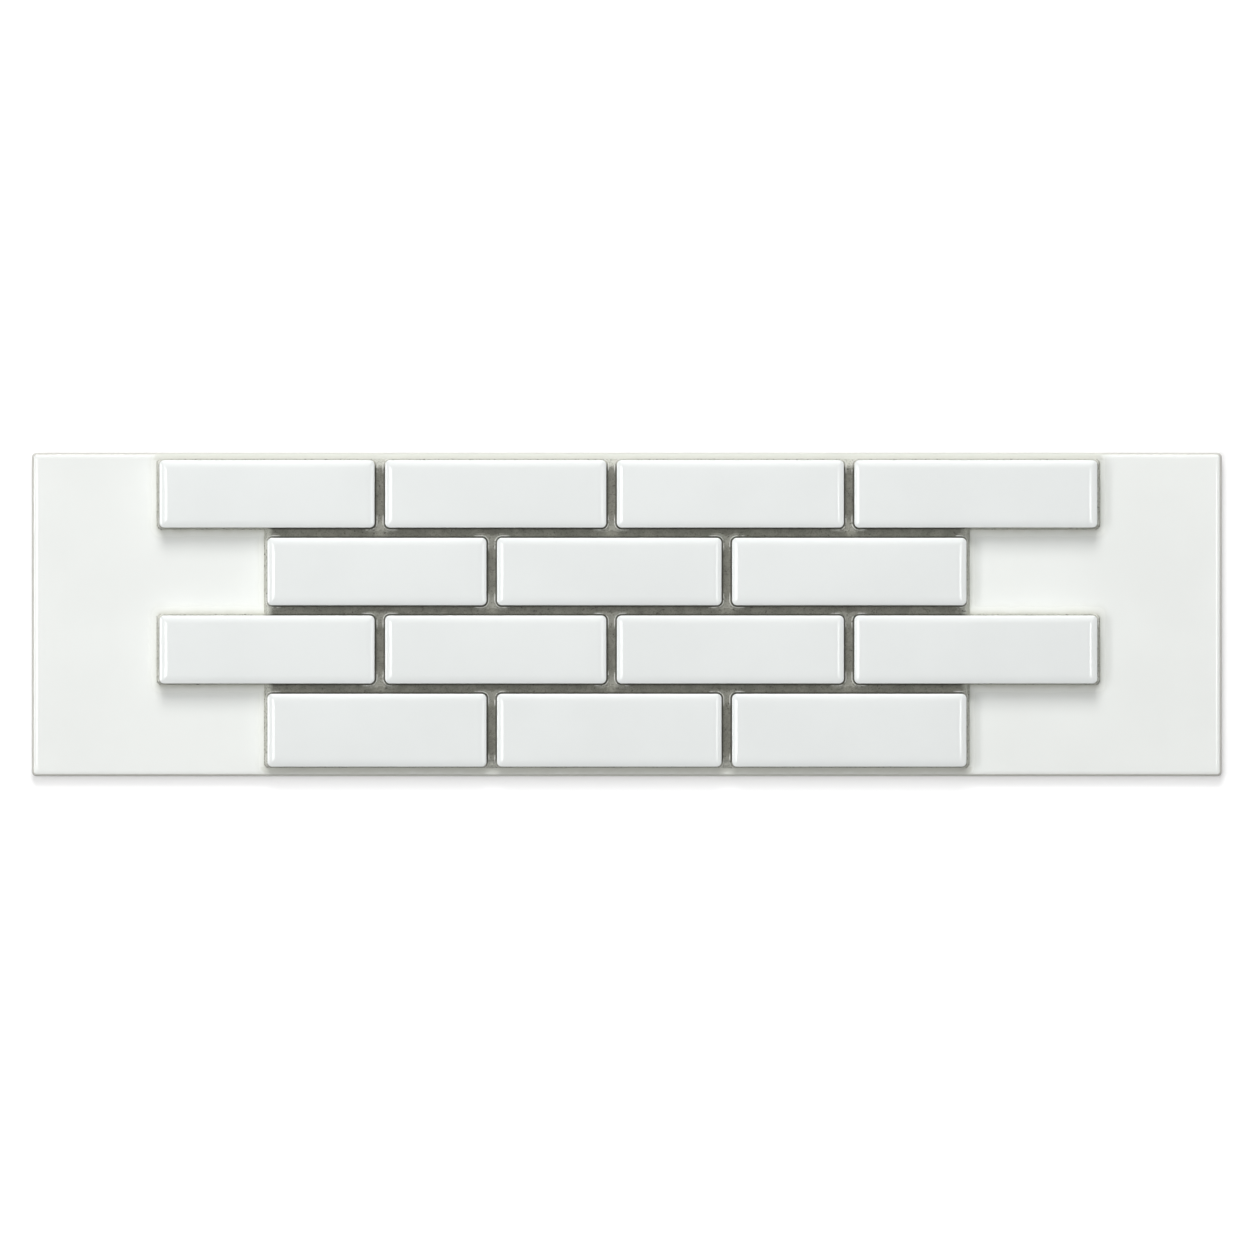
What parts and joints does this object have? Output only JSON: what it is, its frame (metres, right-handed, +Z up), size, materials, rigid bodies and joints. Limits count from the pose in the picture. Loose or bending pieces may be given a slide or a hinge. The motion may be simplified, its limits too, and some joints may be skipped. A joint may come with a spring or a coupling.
{
  "type": "brick-bond tile sample panel",
  "caption": "Long white glazed base tile carrying small cushion-edged white brick tiles in running bond, set in a grey grout bed with open staggered ends.",
  "frame": {"origin": "middle of the base tile's underside, lying flat with the bricks up", "axes": "+X along the tile's length, +Y across it towards the first course of bricks, +Z up out of the brick faces"},
  "size_m": [0.39, 0.106, 0.012],
  "materials": {
    "base_glaze": "gloss",
    "brick_glaze": "gloss",
    "grout": "matte"
  },
  "bodies": {
    "root": {"base_tile": "base_glaze", "grout_bed": "grout", "brick_1_1": "brick_glaze", "brick_1_2": "brick_glaze", "brick_1_3": "brick_glaze", "brick_1_4": "brick_glaze", "brick_2_1": "brick_glaze", "brick_2_2": "brick_glaze", "brick_2_3": "brick_glaze", "brick_3_1": "brick_glaze", "brick_3_2": "brick_glaze", "brick_3_3": "brick_glaze", "brick_3_4": "brick_glaze", "brick_4_1": "brick_glaze", "brick_4_2": "brick_glaze", "brick_4_3": "brick_glaze"}
  },
  "joints": []
}
